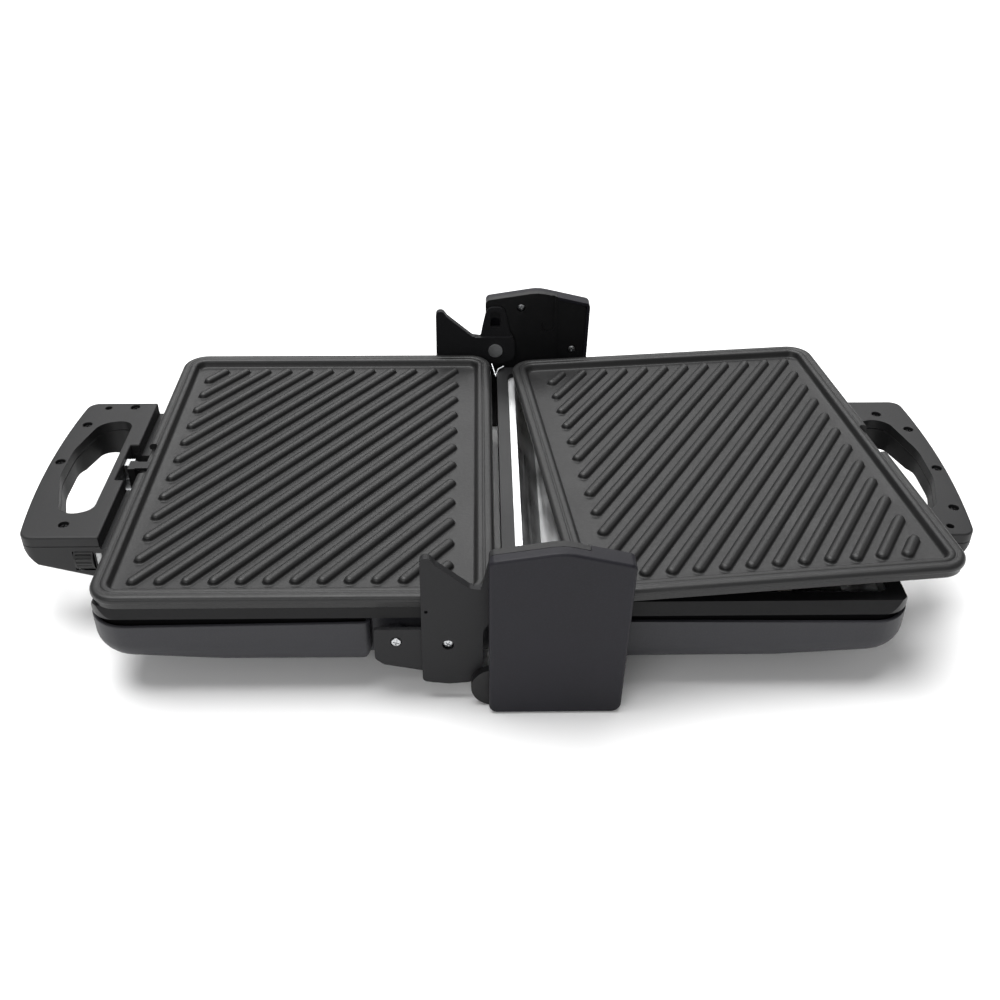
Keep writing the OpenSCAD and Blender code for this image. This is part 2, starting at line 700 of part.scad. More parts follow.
module arm_outline() {
    rounded([[-46.5, 15, 3], [-31, 11.5, 50], [-18, 14, 3], [-11, 24, 6], [-10.5, 58, 8],
             [6, 62, 8], [15, 66, 6], [15, 80, 6], [11, 88, 4], [7, 108, 6], [-6.5, 108, 6],
             [-10, 92, 3], [-11.5, 84, 1], [-18, 85, 4], [-37, 101.5, 3], [-40, 106, 3.3],
             [-45.5, 106, 3.3]]);
}
module hinge_arm() {
    color(black) difference() {
        union() {
            along_y(-arm_out, -arm_in) arm_outline();
            along_y(-arm_in - 3, -arm_in)
                rounded([[-73.5, 53, 1], [-74, 31, 3], [-69, 26.5, 4], [-44, 21, 0], [-40, 40, 0], [-44, 53, 0]]);
        }
        // hollow under the round top of the hub's pillar
        along_y(-arm_out - 1, -arm_in - 2)
            rounded([[-4, 92, 1], [4, 92, 1], [4, 105, 3.9], [-4, 105, 3.9]]);
        // relief on the inner face: the loose plate's corner passes here
        translate([-16, -arm_in - arm_relief, 84]) cube([34, arm_relief + 1, 30]);
        rod_y(pin_r + fit, 0, hinge_z, -arm_out - 1, -arm_in + 1);
        for (b = arm_boss_at) {
            rod_y(1.6, -b[0], b[1], -arm_out - 1, -arm_in + 1);
            rod_y(3.4, -b[0], b[1], -arm_out - 1, -arm_in - 2.2);
        }
        rod_y(1, -43, 68, -arm_out - 1, -arm_in + 1);
    }
}
module front_hinge_arm() hinge_arm();
module rear_hinge_arm() rear_side() hinge_arm();
module arm_screws() {
    color(steel) for (s = [0, 1], b = arm_boss_at) mirror([0, s, 0])
        pan_screw(-b[0], b[1], -arm_in - 2.2, -arm_in + 8);
}

// Bright wire form across the rear end of the gap between the halves
module rear_wire_form() {
    route = [[-2.8, 141, 66], [0, 132, 60], [2, 136, 64], [6.4, 139, 65]];
    color(steel) for (i = [0:len(route) - 2]) {
        a = route[i];
        b = route[i + 1];
        v = b - a;
        translate(a) rotate([0, acos(v[2] / norm(v)), atan2(v[1], v[0])])
            cylinder(r = 0.7, h = norm(v), $fn = 16);
        translate(a) sphere(0.7, $fn = 16);
    }
}

base_shell();
base_frame();
base_reflector();
base_heater();
base_heater_supports();
base_plate();
base_plate_clip();
base_handle_top();
base_handle_bottom();
base_handle_screws();
base_feet();
inlet_gland();
terminal_block();
thermal_fuse();
front_tower_plate();
front_tower_cover();
rear_tower_plate();
rear_tower_cover();
tower_screws();
boss_screws();
front_hinge_pin();
rear_hinge_pin();
rear_wire_form();
lid_shell();
lid_frame();
lid_reflector();
lid_heater();
lid_heater_supports();
lid_plate();
lid_latch();
lid_latch_guide();
lid_handle_top();
lid_handle_bottom();
lid_handle_screws();
lid_rests();
front_hinge_arm();
rear_hinge_arm();
arm_screws();
thermostat();
thermostat_wheel();
indicator_lens();
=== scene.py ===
import json
from math import atan2, ceil, cos, pi, radians, sin, tan

import bmesh
import bpy
from mathutils import Matrix, Vector


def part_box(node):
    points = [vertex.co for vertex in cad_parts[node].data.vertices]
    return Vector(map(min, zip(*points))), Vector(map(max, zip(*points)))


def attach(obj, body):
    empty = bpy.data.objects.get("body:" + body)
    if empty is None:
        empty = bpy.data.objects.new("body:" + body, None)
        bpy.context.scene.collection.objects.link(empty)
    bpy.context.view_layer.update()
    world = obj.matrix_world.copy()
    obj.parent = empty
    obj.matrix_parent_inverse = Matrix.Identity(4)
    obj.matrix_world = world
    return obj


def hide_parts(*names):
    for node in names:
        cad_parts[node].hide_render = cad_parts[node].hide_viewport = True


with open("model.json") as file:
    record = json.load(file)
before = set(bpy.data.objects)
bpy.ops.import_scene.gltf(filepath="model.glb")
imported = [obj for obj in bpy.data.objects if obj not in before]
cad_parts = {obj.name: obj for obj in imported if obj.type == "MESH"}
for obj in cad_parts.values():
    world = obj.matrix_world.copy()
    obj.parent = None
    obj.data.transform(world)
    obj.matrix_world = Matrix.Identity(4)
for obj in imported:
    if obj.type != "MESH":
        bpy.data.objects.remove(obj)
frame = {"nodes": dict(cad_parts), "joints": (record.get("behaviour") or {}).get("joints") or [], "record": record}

# Contact grill that opens flat. The CAD frame gives every place and size; this script gives
# the grill its final meshes and materials. Lengths in the helpers are millimetres in the
# frame's own axes: X from the hinge to the base handle, Y along the hinge, Z up.

MM = 0.001
SCENE = bpy.context.scene
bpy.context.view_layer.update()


def box_mm(node):
    """Lowest and highest corner of a CAD node, in millimetres."""
    low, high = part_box(node)
    return low / MM, high / MM


# ---- materials ---------------------------------------------------------------


class Shader:
    """A node material with short calls for the nodes that every finish here uses."""

    def __init__(self, name, colour, roughness, metallic=0.0):
        self.material = bpy.data.materials.new(name)
        self.material.use_nodes = True
        self.tree = self.material.node_tree
        self.base = self.tree.nodes["Principled BSDF"]
        self.base.inputs["Base Color"].default_value = (*colour, 1)
        self.base.inputs["Roughness"].default_value = roughness
        self.base.inputs["Metallic"].default_value = metallic
        self.place = self.tree.nodes.new("ShaderNodeTexCoord").outputs["Object"]

    def noise(self, scale, detail=2.0, stretch=(1, 1, 1)):
        place = self.place
        if stretch != (1, 1, 1):
            mapping = self.tree.nodes.new("ShaderNodeMapping")
            mapping.inputs["Scale"].default_value = stretch
            self.tree.links.new(place, mapping.inputs["Vector"])
            place = mapping.outputs["Vector"]
        node = self.tree.nodes.new("ShaderNodeTexNoise")
        node.inputs["Scale"].default_value = scale
        node.inputs["Detail"].default_value = detail
        self.tree.links.new(place, node.inputs["Vector"])
        return node.outputs["Fac"]

    def span(self, factor, low, high, start=0.3, end=0.7):
        """factor from start to end becomes a value from low to high."""
        node = self.tree.nodes.new("ShaderNodeMapRange")
        for key, value in (("From Min", start), ("From Max", end), ("To Min", low), ("To Max", high)):
            node.inputs[key].default_value = value
        self.tree.links.new(factor, node.inputs["Value"])
        return node.outputs["Result"]

    def mix(self, factor, first, second):
        """Colour between first and second; each is a colour or a socket."""
        node = self.tree.nodes.new("ShaderNodeMix")
        node.data_type = "RGBA"
        self.tree.links.new(factor, node.inputs["Factor"])
        for socket, value in ((node.inputs["A"], first), (node.inputs["B"], second)):
            if isinstance(value, tuple):
                socket.default_value = (*value, 1)
            else:
                self.tree.links.new(value, socket)
        return node.outputs["Result"]

    def product(self, first, second, operation="MULTIPLY"):
        node = self.tree.nodes.new("ShaderNodeMath")
        node.operation = operation
        self.tree.links.new(first, node.inputs[0])
        self.tree.links.new(second, node.inputs[1])
        return node.outputs["Value"]

    def edges(self, radius):
        """1 along the mesh's edges within radius metres, 0 on its faces."""
        bevel = self.tree.nodes.new("ShaderNodeBevel")
        bevel.samples = 6
        bevel.inputs["Radius"].default_value = radius
        plain = self.tree.nodes.new("ShaderNodeNewGeometry")
        dot = self.tree.nodes.new("ShaderNodeVectorMath")
        dot.operation = "DOT_PRODUCT"
        self.tree.links.new(bevel.outputs["Normal"], dot.inputs[0])
        self.tree.links.new(plain.outputs["Normal"], dot.inputs[1])
        return self.span(dot.outputs["Value"], 1.0, 0.0, 0.90, 0.995)

    def bump(self, height, strength, distance, under=None):
        node = self.tree.nodes.new("ShaderNodeBump")
        node.inputs["Strength"].default_value = strength
        node.inputs["Distance"].default_value = distance
        self.tree.links.new(height, node.inputs["Height"])
        if under is not None:
            self.tree.links.new(under, node.inputs["Normal"])
        return node.outputs["Normal"]

    def wire(self, **sockets):
        """Links outputs to the shader's inputs, named with _ for a space."""
        for key, output in sockets.items():
            self.tree.links.new(output, self.base.inputs[key.replace("_", " ").title()])
        return self.material


def lighter(colour, factor):
    return tuple(min(1.0, c * factor) for c in colour)


def moulded(name, colour, roughness=0.5, grain=0.09, worn=1.8, gloss=0.3):
    """Black moulded plastic: spark-eroded grain, faint mould flow, greyed worn edges."""
    s = Shader(name, colour, roughness)
    s.base.inputs["Specular IOR Level"].default_value = gloss
    flow = s.noise(22, 3)
    specks = s.noise(900, 2)
    tint = s.mix(s.span(flow, 0, 1), lighter(colour, 0.88), lighter(colour, 1.14))
    tint = s.mix(s.span(specks, 0, 0.35, 0.45, 0.75), tint, lighter(colour, 1.9))
    wear = s.product(s.edges(0.0009), s.span(s.noise(160, 3), 0.0, 0.55, 0.42, 0.62))
    tint = s.mix(wear, tint, lighter(colour, worn))
    rough = s.product(s.span(flow, 0.93, 1.08), s.span(specks, roughness * 0.93, roughness * 1.1))
    grainy = s.bump(s.noise(1700, 3), grain, 0.0002)
    wavy = s.bump(s.noise(40, 1), 0.05, 0.002, grainy)
    return s.wire(base_color=tint, roughness=rough, normal=wavy)


def coated(name, colour, roughness=0.42):
    """Sprayed non-stick coating on cast aluminium: orange peel, metal flecks, rubbed high spots."""
    s = Shader(name, colour, roughness)
    s.base.inputs["Specular IOR Level"].default_value = 0.33
    cloud = s.noise(30, 4)
    fleck = s.noise(2300, 1)
    tint = s.mix(s.span(cloud, 0, 1, 0.35, 0.65), lighter(colour, 0.9), lighter(colour, 1.12))
    tint = s.mix(s.span(fleck, 0, 0.5, 0.60, 0.74), tint, lighter(colour, 3.0))
    rub = s.product(s.edges(0.0012), s.span(s.noise(95, 4), 0.0, 0.5, 0.40, 0.62))
    tint = s.mix(rub, tint, lighter(colour, 1.7))
    rough = s.product(s.span(cloud, 0.9, 1.1), s.span(s.noise(420, 2), roughness * 0.92, roughness * 1.12))
    peel = s.bump(s.noise(620, 2), 0.10, 0.0006)
    gritty = s.bump(s.noise(2600, 2), 0.10, 0.00015, peel)
    return s.wire(base_color=tint, roughness=rough, normal=gritty)


def steel(name, colour, roughness=0.3, stretch=(1, 22, 1), lines=260):
    """Rolled or turned steel: fine lines along one axis, smudges and a little tarnish."""
    s = Shader(name, colour, roughness, metallic=1.0)
    line = s.noise(lines, 4, stretch=tuple(1 / v if v > 1 else 1 for v in stretch))
    smudge = s.noise(28, 4)
    tint = s.mix(s.span(smudge, 0, 1), lighter(colour, 0.84), lighter(colour, 1.06))
    rough = s.product(s.span(smudge, 0.8, 1.3), s.span(line, roughness * 0.75, roughness * 1.3))
    return s.wire(base_color=tint, roughness=rough, normal=s.bump(line, 0.07, 0.0003))


def heater_sheath(name):
    """Sheath of a used heater: dull grey-green with straw and blue heat tints."""
    colour = (0.16, 0.165, 0.14)
    s = Shader(name, colour, 0.5, metallic=0.85)
    tint = s.mix(s.span(s.noise(18, 3), 0, 1), colour, (0.20, 0.15, 0.09))
    tint = s.mix(s.span(s.noise(33, 2), 0, 0.6, 0.5, 0.72), tint, (0.07, 0.09, 0.13))
    rough = s.span(s.noise(350, 3), 0.4, 0.62)
    return s.wire(base_color=tint, roughness=rough, normal=s.bump(s.noise(1500, 3), 0.12, 0.0002))


def ceramic(name):
    colour = (0.70, 0.67, 0.58)
    s = Shader(name, colour, 0.7)
    tint = s.mix(s.span(s.noise(140, 4), 0, 1), lighter(colour, 0.86), lighter(colour, 1.08))
    return s.wire(base_color=tint, roughness=s.span(s.noise(90, 2), 0.62, 0.82),
                  normal=s.bump(s.noise(1300, 3), 0.2, 0.0002))


def rubber(name):
    colour = (0.017, 0.017, 0.018)
    s = Shader(name, colour, 0.78)
    tint = s.mix(s.span(s.noise(60, 4), 0, 1), colour, lighter(colour, 1.7))
    return s.wire(base_color=tint, roughness=s.span(s.noise(200, 3), 0.7, 0.9),
                  normal=s.bump(s.noise(1200, 2), 0.12, 0.0003))


def clear_lens(name):
    colour = (0.55, 0.56, 0.56)
    s = Shader(name, colour, 0.12)
    s.base.inputs["Transmission Weight"].default_value = 0.25
    s.base.inputs["Coat Weight"].default_value = 0.5
    tint = s.mix(s.span(s.noise(500, 2), 0, 1), colour, lighter(colour, 1.35))
    return s.wire(base_color=tint, roughness=s.span(s.noise(300, 2), 0.08, 0.2),
                  normal=s.bump(s.noise(700, 1), 0.05, 0.0002))


FINISH = {
    "shell_plastic": moulded("shell plastic", (0.019, 0.019, 0.0225), 0.47),
    "tower_plastic": moulded("tower plastic", (0.009, 0.0086, 0.012), 0.45, gloss=0.2),
    "black_plastic": moulded("black plastic", (0.0055, 0.0055, 0.006), 0.42),
    "arm_plastic": moulded("arm plastic", (0.009, 0.009, 0.010), 0.5, gloss=0.22),
    "handle_plastic": moulded("handle plastic", (0.010, 0.010, 0.0105), 0.48),
    "wheel_plastic": moulded("wheel plastic", (0.012, 0.012, 0.012), 0.4),
    "nonstick_plate": coated("non-stick coating", (0.0125, 0.0125, 0.0127)),
    "bright_reflector": steel("bright sheet", (0.72, 0.725, 0.73), 0.34),
    "heater_sheath": heater_sheath("heater sheath"),
    "ceramic": ceramic("unglazed ceramic"),
    "steel_parts": steel("zinc plated steel", (0.55, 0.56, 0.57), 0.35, stretch=(1, 1, 1), lines=1800),
    "screws": steel("screw steel", (0.50, 0.51, 0.52), 0.3, stretch=(1, 1, 1), lines=2400),
    "black_screws": steel("black oxide screw", (0.030, 0.030, 0.031), 0.4, stretch=(1, 1, 1), lines=2400),
    "rubber_feet": rubber("black rubber"),
    "lens": clear_lens("clear lens"),
}

# ---- outlines and rings ------------------------------------------------------

ARC_STEP = radians(9)


def round_corner(before, corner, after, radius, inset):
    """Points round one corner of a counter-clockwise outline, moved inwards by inset."""
    a, b, c = Vector(before[:2]), Vector(corner[:2]), Vector(after[:2])
    d0, d1 = (b - a).normalized(), (c - b).normalized()
    n0, n1 = Vector((-d0.y, d0.x)), Vector((-d1.y, d1.x))
    moved = b + (n0 + n1) * (inset / (1 + n0.dot(n1)))
    if radius <= 0:
        return [moved]
    turn = atan2(d0.cross(d1), d0.dot(d1))
    side = 1 if turn > 0 else -1
    limit = 0.45 * min((b - a).length, (c - b).length) / max(tan(abs(turn) / 2), 1e-6)
    size = min(max(radius - side * inset, 0.05), max(limit, radius))
    start = moved - d0 * size * tan(abs(turn) / 2)
    centre = start + n0 * side * size
    steps = max(2, ceil(abs(turn) / ARC_STEP))
    spoke = start - centre
    return [centre + Matrix.Rotation(turn * k / steps, 2) @ spoke for k in range(steps + 1)]


def outline(corners):
    """Shape from counter-clockwise corners (x, y, radius): a function from inset to points."""
    def ring(inset=0.0):
        n = len(corners)
        points = []
        for i, corner in enumerate(corners):
            points += round_corner(corners[i - 1], corner, corners[(i + 1) % n], corner[2], inset)
        return points
    return ring


def rectangle(x0, x1, y0, y1, radius):
    return outline([(x0, y0, radius), (x1, y0, radius), (x1, y1, radius), (x0, y1, radius)])


def circle(x, y, radius, steps=32):
    def ring(inset=0.0):
        r = max(radius - inset, 0.02)
        return [Vector((x + r * cos(2 * pi * k / steps), y + r * sin(2 * pi * k / steps)))
                for k in range(steps)]
    return ring


def stadium(start, end, half, steps=8):
    """Bar with round ends between two points, half its width from its centre line."""
    start, end = Vector(start), Vector(end)
    heading = (end - start).normalized()
    normal = Vector((-heading.y, heading.x))

    def ring(inset=0.0):
        r = max(half - inset, 0.05)
        points = []
        for centre, sign in ((end, -1), (start, 1)):
            for k in range(steps + 1):
                turn = pi * k / steps
                points.append(centre + sign * r * (normal * cos(turn) - heading * sin(turn)))
        return points
    return ring


def arc_profile(z0, z1, low, high, steps=3):
    """(inset, z) pairs up a wall from z0 to z1 with its two edges rounded."""
    turns = [k * pi / 2 / steps for k in range(steps + 1)]
    rise = [(low * (1 - sin(t)), z0 + low * (1 - cos(t))) for t in turns] if low else [(0, z0)]
    top = [(high * (1 - cos(t)), z1 - high * (1 - sin(t))) for t in turns] if high else [(0, z1)]
    return rise + top


# ---- meshes ------------------------------------------------------------------


def loft(bm, shape, profile):
    """Rings of shape at each (inset, z), joined by quads. Gives the first and last ring."""
    rings = []
    for inset, z in profile:
        rings.append([bm.verts.new((p.x, p.y, z)) for p in shape(inset)])
    for low, high in zip(rings, rings[1:]):
        for i in range(len(low)):
            bm.faces.new((low[i - 1], low[i], high[i], high[i - 1]))
    return rings[0], rings[-1]


def lid_on(bm, loops):
    """Closes the area between an outer ring and the rings of its holes."""
    edges = [bm.edges.get((loop[i - 1], loop[i])) for loop in loops for i in range(len(loop))]
    bmesh.ops.triangle_fill(bm, edges=edges, use_beauty=True, normal=(0, 0, 1))


def block(bm, shape, z0, z1, low=0.5, high=0.5, holes=(), hole_edge=0.3):
    """Solid of shape from z0 to z1 with rounded edges and through holes."""
    first, last = [], []
    for solid, item in [(True, shape)] + [(False, hole) for hole in holes]:
        profile = arc_profile(z0, z1, low if solid else hole_edge, high if solid else hole_edge)
        if not solid:
            profile = [(-inset, z) for inset, z in profile]
        bottom, top = loft(bm, item, profile)
        first.append(bottom)
        last.append(top)
    lid_on(bm, first)
    lid_on(bm, last)
    return bm


def turned(profile, steps=32):
    """A new bmesh turned from (radius, z) pairs, with flat ends."""
    bm = bmesh.new()
    rings = [[bm.verts.new((r * cos(2 * pi * k / steps), r * sin(2 * pi * k / steps), z))
              for k in range(steps)] for r, z in profile]
    for low, high in zip(rings, rings[1:]):
        for i in range(steps):
            bm.faces.new((low[i - 1], low[i], high[i], high[i - 1]))
    bm.faces.new(rings[0])
    bm.faces.new(rings[-1])
    return bm


UPRIGHT = Matrix(((1, 0, 0, 0), (0, 0, 1, 0), (0, 1, 0, 0), (0, 0, 0, 1)))  # outline XY to XZ
TO_LID = Matrix.Rotation(pi, 4, "Z")
TO_REAR = Matrix.Diagonal((1, -1, 1, 1))
ALONG_X = Matrix.Rotation(pi / 2, 4, "Y")


def mesh_from(bm, name, turn=None):
    bmesh.ops.remove_doubles(bm, verts=bm.verts, dist=0.001)
    bmesh.ops.dissolve_degenerate(bm, edges=bm.edges, dist=0.0005)
    if turn is not None:
        bmesh.ops.transform(bm, matrix=turn, verts=bm.verts)
    bmesh.ops.recalc_face_normals(bm, faces=bm.faces)
    mesh = bpy.data.meshes.new(name)
    bm.to_mesh(mesh)
    bm.free()
    return mesh


def boolean(mesh, tool, operation):
    """mesh joined with or cut by another mesh, exactly."""
    first = bpy.data.objects.new("first", mesh)
    second = bpy.data.objects.new("second", tool)
    for o in (first, second):
        SCENE.collection.objects.link(o)
    step = first.modifiers.new("step", "BOOLEAN")
    step.operation, step.solver, step.object = operation, "EXACT", second
    bpy.context.view_layer.update()
    result = bpy.data.meshes.new_from_object(first.evaluated_get(bpy.context.evaluated_depsgraph_get()))
    for o in (first, second):
        bpy.data.objects.remove(o)
    return result


def piece(name, mesh, node, sharp=32, stands_for=None):
    """A finished piece that rides with its CAD node's body and takes its slot and finish."""
    mesh.transform(Matrix.Scale(MM, 4))
    mesh.materials.clear()
    slot = slot_of[node]
    mesh.materials.append(FINISH[slot])
    mesh.polygons.foreach_set("use_smooth", [True] * len(mesh.polygons))
    mesh.set_sharp_from_angle(angle=radians(sharp))
    obj = bpy.data.objects.new(name, mesh)
    SCENE.collection.objects.link(obj)
    weighted = obj.modifiers.new("flat faces stay flat", "WEIGHTED_NORMAL")
    weighted.keep_sharp = True
    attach(obj, body_of[node])
    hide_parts(*(stands_for or [node]))
    return obj


slot_of = {s["node"]: s["material_slot"] for s in frame["record"]["subparts"]}
body_of = {n: b for b, names in frame["record"]["behaviour"]["bodies"].items() for n in names}

# ---- grill plates ------------------------------------------------------------

RIM_WIDTH = 12.0
RIB_PITCH = 12.8
RIB_TURN = radians(54)
RIB_HALF = 3.5
RIB_HEIGHT = 3.5
RIB_PHASE = 7.0
RIB_MARGINS = (24.0, 19.0, 17.5)      # hinge side, handle side, ends
PLATE_CORNER = 17.0
FLOOR_TOP = 4.0
UNDER_FLOOR = 1.0
ROLL_OUT = 1.5                        # the rolled edge overhangs the skirt by this
NOTCH = (6.0, 36.0, 4.0)              # depth, length, height of its shelf

plate_low, plate_high = box_mm("lid_plate")
PLATE_W = plate_high.x - plate_low.x
PLATE_L = plate_high.y - plate_low.y
PLATE_H = plate_high.z - plate_low.z
SEAT_X = -plate_high.x
SEAT_Z = plate_low.z


def rib_lines():
    """End points of the ribs' centre lines on the cooking floor, hinge side at X = 0."""
    hinge, handle, ends = RIB_MARGINS
    x_range = (hinge + RIB_HALF, PLATE_W - handle - RIB_HALF)
    y_range = (-PLATE_L / 2 + ends + RIB_HALF, PLATE_L / 2 - ends - RIB_HALF)
    along = Vector((cos(RIB_TURN), sin(RIB_TURN)))
    across = Vector((along.y, -along.x))
    lines = []
    for k in range(-14, 31):
        origin = across * (RIB_PHASE + k * RIB_PITCH)
        start = max((x_range[0] - origin.x) / along.x, (y_range[0] - origin.y) / along.y)
        end = min((x_range[1] - origin.x) / along.x, (y_range[1] - origin.y) / along.y)
        if end - start > 2 * RIB_HALF:
            lines.append((origin + along * start, origin + along * end))
    return lines


def plate_profile():
    """Section of the rim, from the skirt's inside over the rolled edge to the floor."""
    roll, lip = 3.0, 2.2
    points = [(3.6, UNDER_FLOOR), (3.2, 0.3), (2.8, 0.0), (ROLL_OUT + 0.5, 0.0), (ROLL_OUT, 0.5),
              (ROLL_OUT, 3.9), (ROLL_OUT - 0.3, 4.4), (0.5, 4.6), (0.1, 4.9), (0.0, 5.4)]
    points += [(roll * (1 - cos(t)), PLATE_H - roll * (1 - sin(t)))
               for t in [k * pi / 16 for k in range(1, 9)]]
    points += [(4.8, PLATE_H), (5.2, PLATE_H - 0.3), (5.6, PLATE_H - 0.6), (6.2, PLATE_H - 0.6),
               (6.6, PLATE_H - 0.3), (7.0, PLATE_H)]
    inner = RIM_WIDTH - 1.4
    points += [(inner - lip * (1 - sin(t)), PLATE_H - lip * (1 - cos(t)))
               for t in [k * pi / 10 for k in range(5)]]
    points += [(inner + 0.5, FLOOR_TOP + 1.5), (inner + 1.1, FLOOR_TOP + 0.45), (inner + 2.2, FLOOR_TOP)]
    return points


def rib_profile():
    """(inset, z) pairs of a rib's flank: a fillet at its foot and a round back."""
    rise = [(-0.9, 0.0), (-0.4, 0.12), (0.0, 0.5), (0.22, 1.1)]
    crown = [(0.22 + 3.1 * (1 - cos(t)), 1.1 + (RIB_HEIGHT - 1.1) * sin(t))
             for t in [k * pi / 12 for k in range(1, 7)]]
    return [(inset, FLOOR_TOP + z) for inset, z in rise + crown]


def grill_plate():
    """One plate with its hinge side at X = 0 and its skirt on Z = 0."""
    bm = bmesh.new()
    shape = rectangle(0, PLATE_W, -PLATE_L / 2, PLATE_L / 2, PLATE_CORNER)
    under, floor = loft(bm, shape, plate_profile())
    bm.faces.new(under)
    feet = []
    for start, end in rib_lines():
        foot, back = loft(bm, stadium(start, end, RIB_HALF), rib_profile())
        feet.append(foot)
        bm.faces.new(back)
    lid_on(bm, [floor] + feet)
    mesh = mesh_from(bm, "plate")
    depth, length, shelf = NOTCH
    cutter = block(bmesh.new(), rectangle(PLATE_W - depth, PLATE_W + 5, -length / 2, length / 2, 1.2),
                   shelf, PLATE_H + 5, 0.4, 0)
    return boolean(mesh, mesh_from(cutter, "notch"), "DIFFERENCE")


def build_plates():
    seated = Matrix.Translation((SEAT_X, 0, SEAT_Z))
    mesh = grill_plate()
    mesh.transform(seated)
    loose = mesh.copy()
    mesh.transform(TO_LID)
    piece("lid_grill_plate", mesh, "lid_plate", sharp=50)
    joint = next(j for j in frame["joints"] if j["name"] == "plate_seating")
    lid_joint = next(j for j in frame["joints"] if j["name"] == "lid_hinge")
    follow = next(c for c in frame["record"]["behaviour"]["couplings"] if c["joint"] == "plate_seating")
    swing = radians(-follow["ratio"] * lid_joint["range_deg"][1])
    pivot = Matrix.Translation(Vector(joint["pos_m"]) / MM)
    loose.transform(pivot @ Matrix.Rotation(swing, 4, Vector(joint["axis"])) @ pivot.inverted())
    piece("loose_grill_plate", loose, "base_plate", sharp=50)


# ---- housings ----------------------------------------------------------------

WALL = 2.5
BELLY_R = 20.0
SHELL_R = 24.0                        # plan radius of the housings' outer corners
BOSSES = ((30, 22), (60, 22))
ARM_BOSSES = ((61, 44), (31, 43))
base_shell_low, base_shell_high = box_mm("base_shell")
BELLY_Z = base_shell_low.z
SHELL_X1 = base_shell_high.x
SHELL_Y = PLATE_L / 2 + 1
NECK_Y = PLATE_L / 2 - 5.1
NECK_X = 76.0
RIM_Z = 53.8
BELLY_RISE = 6.5                      # the underside rises this much towards the handle
BELLY_RUN = 80.0                      # over this length
BELLY_EASE = 0.2                      # share of the run that eases into the slope
BELLY_TOP = RIM_Z - 6                 # the walls keep their place above this height


def shell_rim(x):
    """The rim drops a little towards the handle."""
    return RIM_Z + 0.5 - 3.5 * (x + 1) / (SHELL_X1 + 2)


def shell_profile():
    turns = [k * pi / 20 for k in range(11)]
    inner = BELLY_R - WALL
    outside = [(BELLY_R * (1 - sin(t)), BELLY_Z + BELLY_R * (1 - cos(t))) for t in turns]
    edge = [(0, RIM_Z - 0.7), (0.2, RIM_Z - 0.2), (0.7, RIM_Z), (WALL - 0.4, RIM_Z), (WALL, RIM_Z - 0.4)]
    inside = [(WALL + inner * (1 - sin(t)), BELLY_Z + WALL + inner * (1 - cos(t))) for t in turns[::-1]]
    return outside + edge + inside


def housing(corners):
    bm = bmesh.new()
    first, last = loft(bm, outline(corners), shell_profile())
    bm.faces.new(first)
    bm.faces.new(last)
    for v in bm.verts:
        if v.co.z > RIM_Z - 1:
            v.co.z += shell_rim(v.co.x) - RIM_Z
    start = SHELL_X1 - BELLY_RUN * (1 + BELLY_EASE / 2)
    for k in range(1, 9):
        bmesh.ops.bisect_plane(bm, geom=bm.verts[:] + bm.edges[:] + bm.faces[:], plane_no=(1, 0, 0),
                               plane_co=(start + BELLY_RUN * k / 8, 0, 0))
    for v in bm.verts:
        along = max(0.0, v.co.x - start) / BELLY_RUN
        slope = along ** 2 / (2 * BELLY_EASE) if along < BELLY_EASE else along - BELLY_EASE / 2
        v.co.z += BELLY_RISE * slope * min(1.0, max(0.0, (BELLY_TOP - v.co.z) / (BELLY_TOP - BELLY_Z)))
    return mesh_from(bm, "housing")


def boss(x, z, radius, y0, y1):
    return mesh_from(turned([(radius, y0), (radius, y1 - 0.4), (radius - 0.4, y1)], 28), "boss",
                     UPRIGHT @ Matrix.Translation((x, z, 0)))


def base_housing():
    x0 = base_shell_low.x
    mesh = housing([(x0, -SHELL_Y, SHELL_R), (SHELL_X1, -SHELL_Y, SHELL_R),
                    (SHELL_X1, SHELL_Y, SHELL_R), (x0, SHELL_Y, SHELL_R)])
    for i, (x, z) in enumerate(BOSSES):
        for sign in (-1, 1):
            reach = sorted((sign * (NECK_Y - 4), sign * (base_shell_high.y - (0 if i else 1.5))))
            mesh = boolean(mesh, boss(x, z, 6, *reach), "UNION")
    low, high = box_mm("inlet_gland")
    middle = (low + high) / 2
    drill = mesh_from(turned([(7.1, SHELL_Y - 10), (7.1, SHELL_Y + 5)], 40), "drill",
                      UPRIGHT @ Matrix.Translation((middle.x, middle.z, 0)))
    piece("base_housing", boolean(mesh, drill, "DIFFERENCE"), "base_shell")


def lid_housing():
    gap = -box_mm("lid_shell")[1].x
    half = [(gap, -NECK_Y, 6), (NECK_X, -NECK_Y, 1), (NECK_X, -SHELL_Y, 4), (SHELL_X1, -SHELL_Y, SHELL_R)]
    mesh = housing(half + [(x, -y, r) for x, y, r in half[::-1]])
    for x, z in ARM_BOSSES:
        for sign in (-1, 1):
            reach = sorted((sign * (NECK_Y - 4), sign * (PLATE_L / 2 + 3.5)))
            mesh = boolean(mesh, boss(x, z, 5, *reach), "UNION")
    mesh.transform(TO_LID)
    piece("lid_housing", mesh, "lid_shell")


# ---- handles -----------------------------------------------------------------

